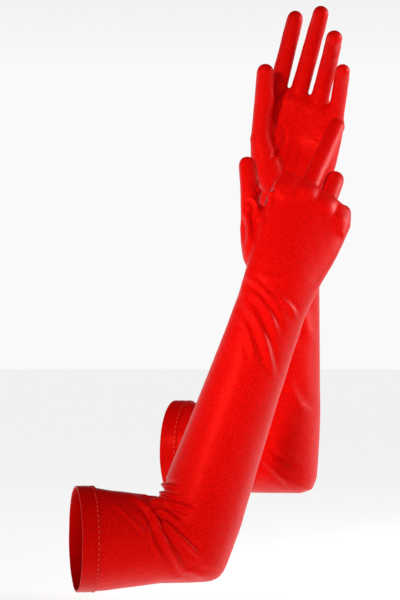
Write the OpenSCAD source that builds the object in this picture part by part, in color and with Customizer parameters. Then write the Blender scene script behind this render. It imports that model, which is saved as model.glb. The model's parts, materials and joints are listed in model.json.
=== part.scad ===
// A pair of long stretch satin gloves, shaped as they sit on two bent arms.
// Each glove is a back panel and a palm panel sewn round the outline, with a
// turned hem at the arm opening. The panels are divided at the elbow, the
// wrist and the knuckles, where the fabric has to fold.
// Each glove is laid out in its own arm frame: the upper sleeve runs along +X
// from the centre of the arm opening, the arm bends in the XZ plane and the
// back of the hand faces -Y. The left glove is the mirror of that frame.

/* [Sleeve] */
// Inner radius of the arm opening
hem_r = 44; // [42:0.5:46]
// Depth of the turned hem along the sleeve
hem_depth = 16; // [12:1:20]
// Thickness of the folded hem
hem_wall = 1.8; // [1.4:0.1:2.2]
// Thickness of the satin panels
wall = 1.2; // [0.8:0.1:1.4]
// Length from the arm opening to the elbow's centre
upper_len = 99; // [96:1:110]
// Length from the elbow's centre to the wrist's centre
forearm_len = 232; // [220:1:245]
// Half width of the sleeve where the elbow's folds begin
elbow_half = 39; // [37:0.5:41]
// Half width of the sleeve at the wrist
wrist_half = 30.5; // [29:0.5:32]
// Half thickness of the sleeve at the wrist
wrist_thick = 23; // [21:0.5:25]

/* [Hand] */
// Length of the palm from the wrist's centre to the middle knuckle
palm_len = 90; // [86:1:94]
// Distance between neighbouring knuckles
knuckle_step = 20; // [19.8:0.1:21]
// Half width of a finger stall at its base
stall_half = 8.8; // [8.5:0.1:9.4]
// Half width of a finger stall near its tip
tip_half = 7.6; // [7:0.1:8.4]

/* [Pose] */
// Turn of the right glove about the vertical
right_turn = 10; // [5:1:15]
// Turn of the left glove about the vertical
left_turn = -17; // [-20:1:-12]
// Lean of the right forearm off the vertical
right_lean = 20; // [16:1:24]
// Lean of the left forearm off the vertical
left_lean = 3; // [0:1:6]
// Distance between the two arm openings across the pair
pair_gap = 220; // [210:1:240]
// Distance from the right arm opening to the left one along the sleeves
pair_ahead = 83; // [80:1:92]
// Height of the left arm opening above the right one
pair_rise = 66; // [60:1:70]

/* [Stitching] */
// Number of stitches round each hem
stitch_count = 60; // [40:1:72]
// Length of one stitch
stitch_len = 3; // [2:0.1:3.4]
// Radius of the sewing thread
thread_r = 0.35; // [0.3:0.05:0.5]

/* [Hidden] */
FINGERS = ["index", "middle", "ring", "little"];
PER_GLOVE = [
    "hem", "hem_stitching", "upper_back_panel", "upper_palm_panel",
    "elbow_fabric", "forearm_back_panel", "forearm_palm_panel", "wrist_fabric",
    "hand_back_panel", "hand_palm_panel", "knuckle_fabric",
    "thumb_root_fabric", "thumb_back_panel", "thumb_palm_panel",
    "index_back_panel", "index_palm_panel", "middle_back_panel",
    "middle_palm_panel", "ring_back_panel", "ring_palm_panel",
    "little_back_panel", "little_palm_panel"
];

satin = "#e8120f";
satin_dark = "#c40d0c";
satin_deep = "#a50808";
thread_red = "#ff5a50";

// Clearance between the rigid panels and the folding fabric
gap = 0.3;
// Steps round half a sleeve, half a hand and half a finger
sleeve_steps = 10;
hand_steps = 10;
finger_steps = 5;

// Where the folding fabric begins and ends, from each joint's centre
elbow_before = 52;
elbow_after = 52;
wrist_before = 20;
wrist_after = 20;
knuckle_before = 13;
stall_start = 10;

// The folds of the elbow fan out from its crook to its rounded corner
elbow = [upper_len, 0, 0];
crook_half = 37;
elbow_round = 5;
elbow_thick = 40;
fan_steps = 8;

// Hand pose as [lean, pitch, roll] and finger pose as
// [splay, first bend, second bend, third bend]
right_hand_pose = [27, 18, 7];
left_hand_pose = [10, -3, 13];
right_fingers = [[-2, 58, 62, 30], [-2, 14, 0, 4], [0, 22, 70, 35], [1, 43, 58, 30]];
left_fingers = [[-4, 5, 3, 4], [-6, 11, 13, 8], [-5, 20, 28, 12], [0, 42, 5, 6]];
// Thumb pose as [root swing, stall swing, first bend, second bend, third bend]
right_thumb = [36, 24, 2, 6, 5];
left_thumb = [24, 6, 8, 8, 8];

// Bone lengths inside the stalls, and knuckle places as [towards thumb, along hand]
finger_bones = [[42, 25, 21], [46, 28, 22], [43, 26, 22], [33, 19, 19]];
thumb_bones = [31, 18, 20];
knuckle_at = [
    [1.5 * knuckle_step, palm_len - 4], [0.5 * knuckle_step, palm_len],
    [-0.5 * knuckle_step, palm_len - 4], [-1.5 * knuckle_step + 1.5, palm_len - 12]
];
little_scale = 0.9;
thumb_root_at = [20, 18, -16];
thumb_root_len = 37;
thumb_root_start = 25;
thumb_half = 10;
thumb_tip = 8.4;
thumb_start = 9;
hole_gap = 1.2;

function unit(v) = v / norm(v);
function mix(a, b, t) = a + (b - a) * t;

// A station of a tube is [centre, width axis, thickness axis, half width, half thickness]
function station_point(s, angle, inset) =
    s[0] + (s[3] - inset) * cos(angle) * s[1] + (s[4] - inset) * sin(angle) * s[2];
function mix_station(a, b, t) = [
    mix(a[0], b[0], t), unit(mix(a[1], b[1], t)), unit(mix(a[2], b[2], t)),
    mix(a[3], b[3], t), mix(a[4], b[4], t)
];

// Sleeve directions for a lean off the vertical: along it, and towards the crook
function along(lean) = [sin(lean), 0, cos(lean)];
function inward(lean) = [-cos(lean), 0, sin(lean)];
back = [0, -1, 0];

// Hand frame as [towards thumb, along hand, towards the back of the hand]
function hand_along(p) = [cos(p[1]) * sin(p[0]), sin(p[1]), cos(p[1]) * cos(p[0])];
function hand_side(p) =
    let (v = hand_along(p), u0 = unit(cross(v, back)))
    let (u1 = u0 * u0 > 0 ? u0 : [1, 0, 0])
    let (w = cross(v, u1))
    cos(p[2]) * -u1 + sin(p[2]) * w;
function hand_frame(p) =
    let (v = hand_along(p), u = hand_side(p))
    [u, v, cross(v, u)];
function in_hand(frame, p) = p[0] * frame[0] + p[1] * frame[1] + p[2] * frame[2];

function wrist_at(lean) = elbow + forearm_len * along(lean);

// Stations of the sleeve. The inner edges of the two sleeves meet at the crook.
upper_end = upper_len - elbow_before;
hem_half = hem_r + hem_wall - 0.2;
function crook_out(lean) = crook_half * tan((90 - lean) / 2);
function crook_at(lean) = elbow + [-crook_out(lean), 0, crook_half];
function upper_station(lean, x) =
    let (t = (x - hem_depth) / (upper_len - crook_out(lean) - hem_depth))
    let (top = mix(hem_half, crook_half, pow(t, 0.6)), low = mix(hem_half, elbow_half, t))
    [[x, 0, (top - low) / 2], inward(90), back, (top + low) / 2, mix(hem_half, elbow_thick, t)];
function fan_station(lean, t) =
    let (angle = mix(-90, -lean, t), turn = 90 - lean)
    let (ray = [cos(angle), 0, sin(angle)])
    let (reach = (crook_half + elbow_half) / max(cos(turn * t), cos(turn * (1 - t))))
    let (half = (reach - elbow_round * pow(sin(180 * t), 6)) / 2)
    [crook_at(lean) + half * ray, -ray, back, half, mix(elbow_thick, elbow_half, t)];
function forearm_station(lean, s) =
    let (t = (s - crook_out(lean)) / (forearm_len - crook_out(lean)))
    let (low = wrist_half + (elbow_half - wrist_half) * pow(1 - t, 1.5))
    let (top = wrist_half + (crook_half - wrist_half) * pow(1 - t, 1.5))
    let (thick = wrist_thick + (elbow_half - wrist_thick) * pow(1 - t, 1.1))
    [elbow + s * along(lean) + (top - low) / 2 * inward(lean), inward(lean), back,
     (top + low) / 2, thick];

// Stations of the hand
hand_centre = 1;
palm_half = 38.5;
palm_thick = 14;
knuckle_thick = 11.2;
function hand_station(wrist, frame, d) =
    let (t = d / palm_len)
    [wrist + in_hand(frame, [hand_centre * t, d, 0]), frame[0], frame[2],
     mix(wrist_half, palm_half, sin(90 * min(1, t * 1.25))), mix(wrist_thick - 1, palm_thick, sin(90 * t))];

// Stations of a finger stall, from start to tip, for a base point, a straight
// direction, a side axis and a back axis
function bent(d0, n, f) = cos(f) * d0 - sin(f) * n;
function bent_back(d0, n, f) = cos(f) * n + sin(f) * d0;
function stall_station(p, side, d0, n, f, half) =
    [p, side, bent_back(d0, n, f), half, half * 0.94];
tip_steps = 4;
tip_end = 0.05;
function stall_stations(base, side, d0, n, bones, bends, start, r0, r1) =
    let (f1 = bends[0], f2 = f1 + bends[1], f3 = f2 + bends[2])
    let (p1 = base + bones[0] * bent(d0, n, f1), p2 = p1 + bones[1] * bent(d0, n, f2))
    let (last = bent(d0, n, f3), tip = p2 + bones[2] * last)
    let (near = min(8, bones[1] / 2 - 1), rm = mix(r0, r1, 0.5))
    concat(
        [
            stall_station(base + start * bent(d0, n, f1), side, d0, n, f1, r0),
            stall_station(p1 - near * bent(d0, n, f1), side, d0, n, f1, mix(r0, r1, 0.3)),
            stall_station(p1, side, d0, n, (f1 + f2) / 2, rm),
            stall_station(p1 + near * bent(d0, n, f2), side, d0, n, f2, rm),
            stall_station(p2 - near * bent(d0, n, f2), side, d0, n, f2, mix(r0, r1, 0.75)),
            stall_station(p2, side, d0, n, (f2 + f3) / 2, mix(r0, r1, 0.9))
        ],
        [for (k = [0 : tip_steps])
            let (a = 90 * k / tip_steps)
            stall_station(tip - (r1 - r1 * sin(a)) * last, side, d0, n, f3,
                          wall + tip_end + (r1 - wall) * cos(a))]
    );

// Everything about one glove's hand, as [frame, wrist]
function knuckle_point(wrist, frame, i) =
    wrist + in_hand(frame, [knuckle_at[i][0], knuckle_at[i][1], 0]);
function splay_along(frame, a) = cos(a) * frame[1] + sin(a) * frame[0];
function splay_side(frame, a) = cos(a) * frame[0] - sin(a) * frame[1];
function stall_scale(i) = i == 3 ? little_scale : 1;
function finger_stations(wrist, frame, i, pose) =
    stall_stations(knuckle_point(wrist, frame, i), splay_side(frame, pose[0]),
                   splay_along(frame, pose[0]), frame[2], finger_bones[i],
                   [pose[1], pose[2], pose[3]], stall_start,
                   stall_half * stall_scale(i), tip_half * stall_scale(i));
function thumb_point(wrist, frame, pose) =
    wrist + in_hand(frame, thumb_root_at) + thumb_root_len * splay_along(frame, pose[0]);
function thumb_stations(wrist, frame, pose) =
    stall_stations(thumb_point(wrist, frame, pose), splay_side(frame, pose[1]),
                   splay_along(frame, pose[1]), frame[2],
                   thumb_bones,
                   [pose[2], pose[3], pose[4]], thumb_start, thumb_half, thumb_tip);

// A closed skin of one thickness over a run of stations, between two angles
module panel(stations, from, to, steps) {
    n = len(stations);
    row = steps + 1;
    inner = n * row;
    points = concat(
        [for (s = stations) for (j = [0 : steps]) station_point(s, mix(from, to, j / steps), 0)],
        [for (s = stations) for (j = [0 : steps]) station_point(s, mix(from, to, j / steps), wall)]
    );
    faces = concat(
        [for (i = [0 : n - 2]) for (j = [0 : steps - 1])
            each [[i * row + j, (i + 1) * row + j, (i + 1) * row + j + 1],
                  [i * row + j, (i + 1) * row + j + 1, i * row + j + 1]]],
        [for (i = [0 : n - 2]) for (j = [0 : steps - 1]) let (a = inner + i * row + j)
            each [[a, a + row + 1, a + row], [a, a + 1, a + row + 1]]],
        [for (j = [0 : steps - 1]) let (e = (n - 1) * row + j)
            each [[j, j + 1, inner + j + 1], [j, inner + j + 1, inner + j],
                  [e + 1, e, inner + e], [e + 1, inner + e, inner + e + 1]]],
        [for (i = [0 : n - 2]) let (a = i * row, b = a + row, c = a + steps, d = b + steps)
            each [[a, inner + a, inner + b], [a, inner + b, b],
                  [d, inner + d, inner + c], [d, inner + c, c]]]
    );
    polyhedron(points = points, faces = faces, convexity = 6);
}

// The same skin all the way round
module ring_panel(stations, steps) {
    n = len(stations);
    row = 2 * steps;
    inner = n * row;
    points = concat(
        [for (s = stations) for (j = [0 : row - 1]) station_point(s, 180 * j / steps, 0)],
        [for (s = stations) for (j = [0 : row - 1]) station_point(s, 180 * j / steps, wall)]
    );
    faces = concat(
        [for (i = [0 : n - 2]) for (j = [0 : row - 1])
            let (k = (j + 1) % row, a = i * row, b = a + row)
            each [[a + j, b + j, b + k], [a + j, b + k, a + k],
                  [inner + a + j, inner + b + k, inner + b + j],
                  [inner + a + j, inner + a + k, inner + b + k]]],
        [for (j = [0 : row - 1]) let (k = (j + 1) % row, e = (n - 1) * row)
            each [[j, k, inner + k], [j, inner + k, inner + j],
                  [e + k, e + j, inner + e + j], [e + k, inner + e + j, inner + e + k]]]
    );
    polyhedron(points = points, faces = faces, convexity = 6);
}

module back_half(stations, steps) { panel(stations, 0, 180, steps); }
module palm_half(stations, steps) { panel(stations, 180, 360, steps); }

// The folded hem, a true cylinder so that the arm opening has its real bore
module hem() {
    color(satin_dark)
        rotate([0, 90, 0])
            rotate_extrude($fn = 72)
                translate([hem_r, 0])
                    square([hem_wall, hem_depth]);
}

// One row of stitches that holds the hem down
module hem_stitching() {
    color(thread_red)
        for (i = [0 : stitch_count - 1])
            rotate([360 * i / stitch_count, 0, 0])
                translate([hem_depth - 2, stitch_len / 2, hem_r + hem_wall + thread_r + 0.03])
                    rotate([90, 0, 0])
                        cylinder(h = stitch_len, r = thread_r, $fn = 16);
}

function upper_run(lean) =
    [for (i = [0 : 4]) upper_station(lean, mix(hem_depth, upper_end - gap, i / 4))];
function elbow_run(lean) = concat(
    [for (i = [0 : 1]) upper_station(lean, mix(upper_end, upper_len - crook_out(lean), i / 2))],
    [for (i = [0 : fan_steps]) fan_station(lean, i / fan_steps)],
    [for (i = [1 : 2]) forearm_station(lean, mix(crook_out(lean), elbow_after, i / 2))]
);
function forearm_run(lean) =
    [for (i = [0 : 8])
        forearm_station(lean, mix(elbow_after + gap, forearm_len - wrist_before - gap, i / 8))];
function wrist_run(lean, frame) =
    let (wrist = wrist_at(lean))
    let (a = forearm_station(lean, forearm_len - wrist_before))
    let (b = hand_station(wrist, frame, wrist_after))
    [for (i = [0 : 4])
        let (t = i / 4, s = mix_station(a, b, t))
        [mix(mix(a[0], wrist, t), mix(wrist, b[0], t), t), s[1], s[2], s[3], s[4]]];
function hand_run(lean, frame) =
    [for (i = [0 : 5])
        hand_station(wrist_at(lean), frame,
                     mix(wrist_after + gap, palm_len - knuckle_before - 10, i / 5))];

module upper_half(lean, back_side) {
    color(satin)
        if (back_side) back_half(upper_run(lean), sleeve_steps);
        else palm_half(upper_run(lean), sleeve_steps);
}

module elbow_fabric(lean) {
    color(satin_deep)
        ring_panel(elbow_run(lean), sleeve_steps);
}

module forearm_half(lean, back_side) {
    color(satin)
        if (back_side) back_half(forearm_run(lean), sleeve_steps);
        else palm_half(forearm_run(lean), sleeve_steps);
}

module wrist_fabric(lean, frame) {
    color(satin_deep)
        ring_panel(wrist_run(lean, frame), sleeve_steps);
}

// Round opening in the side of the hand where the thumb leaves it
module thumb_hole(lean, frame, pose) {
    wrist = wrist_at(lean);
    from = wrist + in_hand(frame, thumb_root_at);
    dir = splay_along(frame, pose[0]);
    translate(from)
        rotate([0, acos(dir[2]), atan2(dir[1], dir[0])])
            cylinder(h = thumb_root_len + thumb_start, r = thumb_half + hole_gap, $fn = 24);
}

module hand_half(lean, frame, pose, back_side) {
    color(satin)
        difference() {
            if (back_side) back_half(hand_run(lean, frame), hand_steps);
            else palm_half(hand_run(lean, frame), hand_steps);
            thumb_hole(lean, frame, pose);
        }
}

// Short sleeves of fabric that fold over the knuckles
module knuckle_fabric(lean, frame, fingers) {
    wrist = wrist_at(lean);
    color(satin_deep)
        for (i = [0 : 3]) {
            stall = finger_stations(wrist, frame, i, fingers[i]);
            at = knuckle_at[i];
            first = [wrist + in_hand(frame, [at[0] * 0.97, palm_len - knuckle_before - 9, 0]),
                     frame[0], frame[2], stall_half * stall_scale(i), knuckle_thick];
            turn = [knuckle_point(wrist, frame, i), stall[0][1],
                    unit(frame[2] + stall[0][2]), stall_half * stall_scale(i),
                    knuckle_thick - 1];
            last = [stall[0][0] - gap * bent(splay_along(frame, fingers[i][0]), frame[2],
                                             fingers[i][1]),
                    stall[0][1], stall[0][2], stall[0][3], stall[0][4]];
            ring_panel([first, turn, last], finger_steps);
        }
}

// Short sleeve of fabric from the side of the hand to the thumb's stall
module thumb_root_fabric(lean, frame, pose) {
    wrist = wrist_at(lean);
    stall = thumb_stations(wrist, frame, pose);
    root = wrist + in_hand(frame, thumb_root_at);
    dir = splay_along(frame, pose[0]);
    side = splay_side(frame, pose[0]);
    first = [root + (thumb_root_start + 4) * dir, side, frame[2], thumb_half, thumb_half];
    turn = [thumb_point(wrist, frame, pose), unit(side + stall[0][1]),
            unit(frame[2] + stall[0][2]), thumb_half, thumb_half];
    last = [stall[0][0] - gap * cross(stall[0][1], stall[0][2]), stall[0][1], stall[0][2],
            stall[0][3], stall[0][4]];
    color(satin_deep)
        ring_panel([first, turn, last], finger_steps);
}

module stall_half_panel(stations, back_side) {
    color(satin)
        if (back_side) back_half(stations, finger_steps);
        else palm_half(stations, finger_steps);
}

// The node of one glove, in its arm frame
module glove_part(name, lean, hand_pose, fingers, thumb) {
    frame = hand_frame(hand_pose);
    wrist = wrist_at(lean);
    if (name == "hem") hem();
    if (name == "hem_stitching") hem_stitching();
    if (name == "upper_back_panel") upper_half(lean, true);
    if (name == "upper_palm_panel") upper_half(lean, false);
    if (name == "elbow_fabric") elbow_fabric(lean);
    if (name == "forearm_back_panel") forearm_half(lean, true);
    if (name == "forearm_palm_panel") forearm_half(lean, false);
    if (name == "wrist_fabric") wrist_fabric(lean, frame);
    if (name == "hand_back_panel") hand_half(lean, frame, thumb, true);
    if (name == "hand_palm_panel") hand_half(lean, frame, thumb, false);
    if (name == "knuckle_fabric") knuckle_fabric(lean, frame, fingers);
    if (name == "thumb_root_fabric") thumb_root_fabric(lean, frame, thumb);
    if (name == "thumb_back_panel") stall_half_panel(thumb_stations(wrist, frame, thumb), true);
    if (name == "thumb_palm_panel") stall_half_panel(thumb_stations(wrist, frame, thumb), false);
    for (i = [0 : 3]) {
        stall = finger_stations(wrist, frame, i, fingers[i]);
        if (name == str(FINGERS[i], "_back_panel")) stall_half_panel(stall, true);
        if (name == str(FINGERS[i], "_palm_panel")) stall_half_panel(stall, false);
    }
}

module right_glove(name) {
    rotate([0, 0, right_turn])
        glove_part(name, right_lean, right_hand_pose, right_fingers, right_thumb);
}

module left_glove(name) {
    translate([pair_ahead, pair_gap, pair_rise])
        rotate([0, 0, left_turn])
            mirror([0, 1, 0])
                glove_part(name, left_lean, left_hand_pose, left_fingers, left_thumb);
}

for (name = PER_GLOVE) {
    right_glove(name);
    left_glove(name);
}
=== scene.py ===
"""A pair of red satin opera gloves, standing as they sit on two bent arms.

Each glove is one skin of cloth: tubes for the sleeve, the palm, the thumb and the
four fingers are joined into one surface, folds are pressed into it, and the skin is
cut where the bodies of the frame meet and given its cloth thickness.
"""

import json
import logging
import math
from dataclasses import dataclass
from enum import Enum

import bpy
import numpy as np
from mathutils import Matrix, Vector

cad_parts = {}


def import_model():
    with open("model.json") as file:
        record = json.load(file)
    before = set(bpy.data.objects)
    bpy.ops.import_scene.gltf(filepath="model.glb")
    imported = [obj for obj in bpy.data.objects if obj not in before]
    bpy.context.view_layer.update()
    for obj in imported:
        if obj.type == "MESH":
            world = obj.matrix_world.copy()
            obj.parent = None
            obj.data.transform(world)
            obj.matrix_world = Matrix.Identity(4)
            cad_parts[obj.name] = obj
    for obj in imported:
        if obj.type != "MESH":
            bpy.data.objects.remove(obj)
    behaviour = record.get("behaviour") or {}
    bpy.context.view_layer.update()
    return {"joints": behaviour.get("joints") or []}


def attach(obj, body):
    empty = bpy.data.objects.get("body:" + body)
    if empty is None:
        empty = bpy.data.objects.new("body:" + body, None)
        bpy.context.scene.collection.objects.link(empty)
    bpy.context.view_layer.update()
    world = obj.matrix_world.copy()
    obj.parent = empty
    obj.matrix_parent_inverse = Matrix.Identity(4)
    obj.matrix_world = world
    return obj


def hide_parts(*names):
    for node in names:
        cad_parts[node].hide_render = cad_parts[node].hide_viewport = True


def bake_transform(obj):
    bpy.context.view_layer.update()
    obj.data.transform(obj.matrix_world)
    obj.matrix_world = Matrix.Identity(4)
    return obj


logging.basicConfig(level=logging.INFO, format="%(name)s: %(message)s")
log = logging.getLogger("gloves")

MM = 0.001
FINGERS = ("index", "middle", "ring", "little")
Value = float | np.ndarray
# Where the sections of a rounded turn lie, as shares of the way through it
TURN_SHARES = (0.25, 0.5, 0.75)


class Side(Enum):
    """Which of the two gloves."""

    RIGHT = "right"
    LEFT = "left"


class Face(Enum):
    """The half of a glove that a fold lies on."""

    BACK = "back"
    PALM = "palm"
    BOTH = "both"


class Plane(Enum):
    """The plane that a fold's points are given in."""

    ARM = "arm"
    HAND = "hand"


class LampKind(Enum):
    """The kinds of lamp in the studio."""

    SPOT = "SPOT"
    AREA = "AREA"


def unit(vector: np.ndarray) -> np.ndarray:
    """Returns a vector at length one."""
    vector = np.asarray(vector, float)
    return vector / np.linalg.norm(vector)


def mix(a: Value, b: Value, t: Value) -> Value:
    """Returns what lies a share t of the way from a to b."""
    return a + (b - a) * t


def rounded(a: np.ndarray, corner: np.ndarray, b: np.ndarray, t: float) -> np.ndarray:
    """Returns the point a share t of the way along a rounded corner."""
    return mix(mix(a, corner, t), mix(corner, b, t), t)


def eased(t: np.ndarray) -> np.ndarray:
    """Returns shares from 0 to 1 with a soft start and a soft end."""
    return t * t * (3 - 2 * t)


def sind(angle: float) -> float:
    """Returns the sine of an angle in degrees."""
    return math.sin(math.radians(angle))


def cosd(angle: float) -> float:
    """Returns the cosine of an angle in degrees."""
    return math.cos(math.radians(angle))


# ---------------------------------------------------------------- sizes


@dataclass(frozen=True)
class Station:
    """One cross-section of a tube of cloth, in the arm's frame."""

    centre: np.ndarray
    across: np.ndarray
    through: np.ndarray
    half_width: float
    half_depth: float

    def point(self, angle: float) -> np.ndarray:
        """Returns the point of the section at an angle in radians."""
        return (
            self.centre
            + self.half_width * math.cos(angle) * self.across
            + self.half_depth * math.sin(angle) * self.through
        )


@dataclass(frozen=True)
class Tube:
    """A run of cross-sections with a name. What lies past `cut` becomes its own piece."""

    name: str
    stations: tuple
    cut: float = 1e9


@dataclass(frozen=True)
class Fold:
    """A ridge of cloth along a line, with a hollow beside it, in millimetres."""

    points: tuple
    width: float
    height: float
    face: Face = Face.BACK
    plane: Plane = Plane.ARM
    hollow: float = 0.6


@dataclass(frozen=True)
class Swell:
    """A soft mound or hollow of the hand under the cloth, in millimetres of the hand's plane."""

    at: tuple
    size: tuple
    height: float
    face: Face = Face.BACK


@dataclass(frozen=True)
class SleeveSizes:
    """Sizes of the sleeve in metres, which follow the CAD part's."""

    hem_outer: float = 45.8 * MM
    hem_inner: float = 44.0 * MM
    hem_depth: float = 16 * MM
    under_hem: float = 0.35 * MM
    # The tube starts before the arm opening and is trimmed where the hem covers it
    lead_in: float = 10 * MM
    trimmed_at: float = 3 * MM
    upper: float = 99 * MM
    forearm: float = 232 * MM
    forearm_cut: float = 140 * MM
    crook_half: float = 37 * MM
    elbow_half: float = 39 * MM
    elbow_thick: float = 40 * MM
    # The higher the power, the squarer the elbow's outer corner
    elbow_corner: float = 14
    wrist_half: float = 30.5 * MM
    wrist_thick: float = 23 * MM
    wrist_before: float = 20 * MM
    wrist_after: float = 20 * MM
    # Powers that say how early the sleeve narrows
    upper_fullness: float = 0.6
    forearm_fullness: float = 1.5
    forearm_depth_fullness: float = 1.1


@dataclass(frozen=True)
class HandSizes:
    """Sizes of the hand in metres."""

    palm: float = 90 * MM
    palm_half: float = 38.5 * MM
    palm_thick: float = 14 * MM
    # The palm has its full width before its full length, by this factor
    palm_widening: float = 1.25
    palm_end: float = 10 * MM
    # Sections past the palm: millimetres past the knuckles, shares of width and depth
    knuckle_sections: tuple = ((-4, 1, 0.94), (3, 0.96, 0.76), (9, 0.9, 0.52))
    knuckle_slope: float = 0.15
    knuckle_step: float = 20 * MM
    stall_base: float = 9.0 * MM
    stall_tip: float = 7.5 * MM
    stall_lead: float = 14 * MM
    stall_cut: float = 13 * MM
    little_scale: float = 0.9
    bones: tuple = (
        (42 * MM, 25 * MM, 21 * MM),
        (46 * MM, 28 * MM, 22 * MM),
        (43 * MM, 26 * MM, 22 * MM),
        (33 * MM, 19 * MM, 19 * MM),
    )
    thumb_bones: tuple = (31 * MM, 18 * MM, 20 * MM)
    thumb_root_at: tuple = (20 * MM, 18 * MM, -16 * MM)
    thumb_root: float = 37 * MM
    thumb_base: float = 9.8 * MM
    thumb_tip: float = 8.0 * MM
    thumb_lead: float = 1 * MM
    thumb_cut: float = 9 * MM
    # The ball of the thumb: shares of the way along it and half widths in millimetres
    ball_sections: tuple = (
        (-0.35, 9), (-0.1, 14), (0.2, 16), (0.45, 15), (0.7, 13), (0.9, 11.3), (1.05, 10.3),
    )
    ball_flatness: float = 0.92
    ball_lift_mm: float = 6
    # The web from the palm to the thumb: where it starts and its half sizes in millimetres
    web_start: tuple = (26 * MM, 60 * MM, -5 * MM)
    web_reach: float = 9 * MM
    web_half_mm: tuple = (15, 10)
    web_depth_mm: tuple = (8, 6.5)

    def knuckle(self, index: int) -> np.ndarray:
        """Returns a finger's knuckle as (towards thumb, along hand, towards back)."""
        step, palm = self.knuckle_step, self.palm
        return np.array(
            (
                (1.5 * step, palm - 4 * MM, 0),
                (0.5 * step, palm, 0),
                (-0.5 * step, palm - 4 * MM, 0),
                (-1.5 * step + 1.5 * MM, palm - 12 * MM, 0),
            )[index]
        )


@dataclass(frozen=True)
class ArmPose:
    """How one arm is held. Angles are in degrees and fingers are (splay, three bends)."""

    side: Side
    turn: float
    offset: tuple
    lean: float
    hand: tuple
    fingers: tuple
    thumb: tuple
    folds: tuple = ()
    swells: tuple = ()

    def to_row(self, points: np.ndarray) -> np.ndarray:
        """Takes points from the arm's frame to the row's, the one that both gloves share.

        Args:
            points: points of the arm's frame. The left arm is the right one's mirror image.

        Returns:
            The same points in the row's frame.
        """
        points = np.array(points, float)
        if self.side is Side.LEFT:
            points = points * (1, -1, 1)
        c, s = cosd(self.turn), sind(self.turn)
        x, y, z = points[..., 0], points[..., 1], points[..., 2]
        return np.stack((x * c - y * s, x * s + y * c, z), -1) + np.array(self.offset)

    def turn_only(self, vectors: np.ndarray) -> np.ndarray:
        """Returns directions of the arm's frame as directions of the row's."""
        return self.to_row(vectors) - np.array(self.offset)

    def node(self, name: str) -> str:
        """Returns the name of this glove's node, body or joint."""
        return f"{self.side.value}_{name}"


@dataclass(frozen=True)
class ClothSizes:
    """How fine the skin is and how its cloth lies, in metres."""

    voxel: float = 1.25 * MM
    smooth_steps: int = 7
    thickness: float = 0.7 * MM
    seam_width: float = 0.8 * MM
    seam_depth: float = 0.22 * MM
    # Uneven slack of the cloth: broad ripples, drawn out up the arm, and fine ones
    slack_depth: float = 0.16 * MM
    slack_size: float = 26 * MM
    slack_stretch: tuple = (1, 1, 0.55)
    fine_depth: float = 0.05 * MM
    fine_size: float = 9 * MM
    # Creases across each finger joint: depth at each joint, then place and share of each crease
    crease_width: float = 1.3 * MM
    crease_depths: tuple = (0.55, 0.4)
    crease_rows: tuple = ((-3.2, 0.7), (0, 1), (3.4, 0.6))
    # A crease has this share of its depth on the back, and gets deeper over this distance
    crease_outside: float = 0.35
    crease_blend: float = 8 * MM


# ---------------------------------------------------------------- skeleton


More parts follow.
